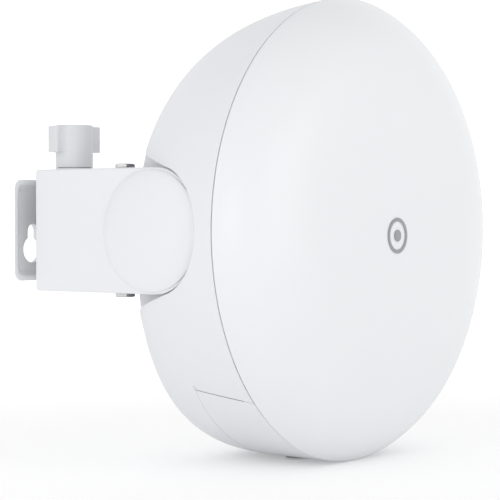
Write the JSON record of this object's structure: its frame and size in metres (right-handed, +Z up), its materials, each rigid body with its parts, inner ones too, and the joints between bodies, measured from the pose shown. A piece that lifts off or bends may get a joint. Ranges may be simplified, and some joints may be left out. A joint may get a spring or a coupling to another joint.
{
  "type": "outdoor wireless bridge",
  "caption": "Round outdoor dish radio in a closed white shell, on a one-sided tilting arm with a hand-knob swivel and a keyhole wall plate.",
  "frame": {"origin": "centre of the wall plate's rear face, where it lies on the wall", "axes": "+Y out of that rear face into the wall, so the dish faces -Y; +Z up; the dish stands to the +X side of the arm"},
  "size_m": [0.2576, 0.1721, 0.2576],
  "materials": {
    "white_plastic": "fine matte, UV-stable",
    "grey_plastic": "matte, glass-filled",
    "steel": "stainless, bright",
    "aluminium": "satin, cast or spun",
    "black_rubber": "matte",
    "circuit_board": "solder mask",
    "ceramic": "matte ceramic",
    "light_pipe": "clear, moulded",
    "badge_grey": "printed"
  },
  "bodies": {
    "wall_bracket": {"wall_plate": "white_plastic", "azimuth_knuckle": "grey_plastic", "foot_screw_1": "steel", "foot_screw_2": "steel"},
    "arm": {"arm_housing": "white_plastic", "arm_cap": "white_plastic", "clamp_bolt": "steel", "clamp_nut": "steel", "knob_stud": "steel", "pivot_bush_top": "black_rubber", "pivot_bush_bottom": "black_rubber", "friction_ring": "grey_plastic"},
    "knob_carrier": {"knob_washer": "grey_plastic"},
    "knob": {"knob": "grey_plastic", "knob_insert": "steel"},
    "port_cover": {"port_cover": "white_plastic", "cable_grommet": "black_rubber"},
    "reset_button": {"reset_button": "black_rubber"},
    "dish": {"radome": "white_plastic", "rear_shell": "white_plastic", "port_frame": "grey_plastic", "radome_clip_1": "grey_plastic", "radome_clip_2": "grey_plastic", "radome_clip_3": "grey_plastic", "radome_clip_4": "grey_plastic", "radome_clip_5": "grey_plastic", "radome_clip_6": "grey_plastic", "rf_shield": "steel", "ethernet_jack": "steel", "ground_screw": "steel", "board_post_1": "steel", "board_post_2": "steel", "board_post_3": "steel", "board_post_4": "steel", "drum_screw_1": "steel", "drum_screw_2": "steel", "drum_screw_3": "steel", "drum_screw_4": "steel", "pivot_drum": "aluminium", "reflector": "aluminium", "feed_horn": "aluminium", "sub_reflector": "aluminium", "core_frame": "aluminium", "heat_spreader": "aluminium", "seam_gasket": "black_rubber", "vent_plug": "black_rubber", "radio_board": "circuit_board", "gps_patch": "ceramic", "light_pipe": "light_pipe", "badge_ring": "badge_grey", "badge_dot": "badge_grey"}
  },
  "joints": [
    {"name": "azimuth_swivel", "type": "hinge", "parent": "wall_bracket", "child": "arm", "pos_m": [0, -0.0245, 0], "axis": [0, 0, 1], "range_deg": [-20, 15]},
    {"name": "elevation_tilt", "type": "hinge", "parent": "arm", "child": "dish", "pos_m": [0, -0.0971, 0], "axis": [1, 0, 0], "range_deg": [-9, 9]},
    {"name": "knob_lift", "type": "slide", "parent": "arm", "child": "knob_carrier", "axis": [0, 0, 1], "range_m": [0, 0.00187]},
    {"name": "knob_turn", "type": "hinge", "parent": "knob_carrier", "child": "knob", "pos_m": [0, -0.0245, 0], "axis": [0, 0, 1], "range_deg": [0, 540.5]},
    {"name": "port_cover_slide", "type": "slide", "parent": "dish", "child": "port_cover", "axis": [0, 0, -1], "range_m": [0, 0.045]},
    {"name": "reset_press", "type": "slide", "parent": "dish", "child": "reset_button", "axis": [0, 0, 1], "range_m": [0, 0.001], "stiffness_N_per_m": 400}
  ],
  "couplings": [
    {"joint": "knob_turn", "follows": "knob_lift", "rad_per_m": 5026.5}
  ]
}
